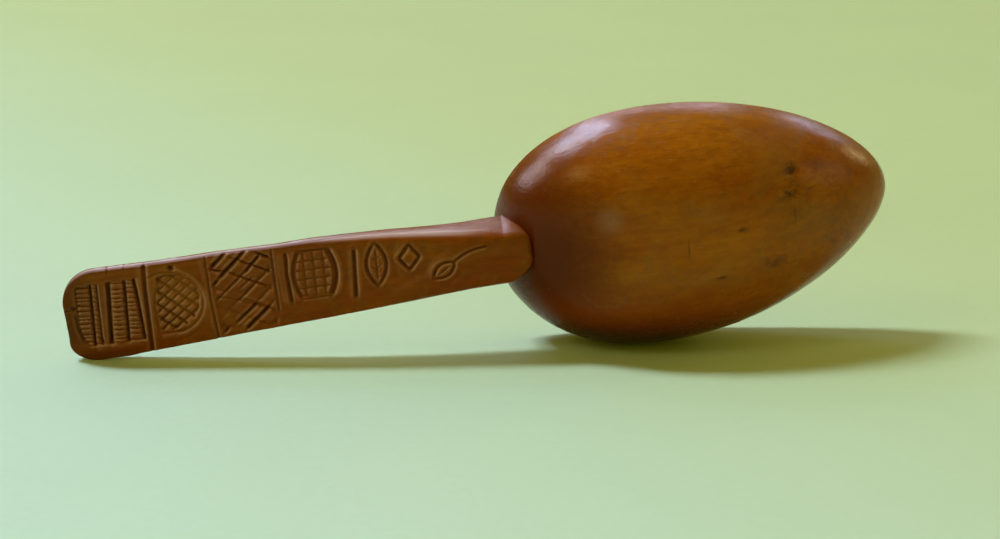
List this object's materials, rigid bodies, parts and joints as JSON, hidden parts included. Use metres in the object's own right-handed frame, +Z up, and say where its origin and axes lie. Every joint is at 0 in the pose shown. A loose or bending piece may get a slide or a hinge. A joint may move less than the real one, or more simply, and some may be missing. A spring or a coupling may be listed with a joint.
{
  "type": "welsh love spoon",
  "caption": "Carved wooden love spoon with a deep pointed-oval bowl and a short tapering handle, its face cut with ladders, lattices, an arch and leaves.",
  "frame": {"origin": "under the centre of the spoon's bounding box, on the surface that it stands on", "axes": "+X from the handle's end to the bowl's tip, +Z up as it stands on one long edge, -Y the side of the carved face and of the bowl's rounded back"},
  "size_m": [0.1788, 0.0304, 0.0543],
  "materials": {
    "bowl_wood": "hand carved and waxed, worn to a soft sheen",
    "handle_wood": "hand carved and waxed, darker from handling"
  },
  "bodies": {
    "root": {"bowl": "bowl_wood", "handle": "handle_wood"}
  },
  "joints": []
}
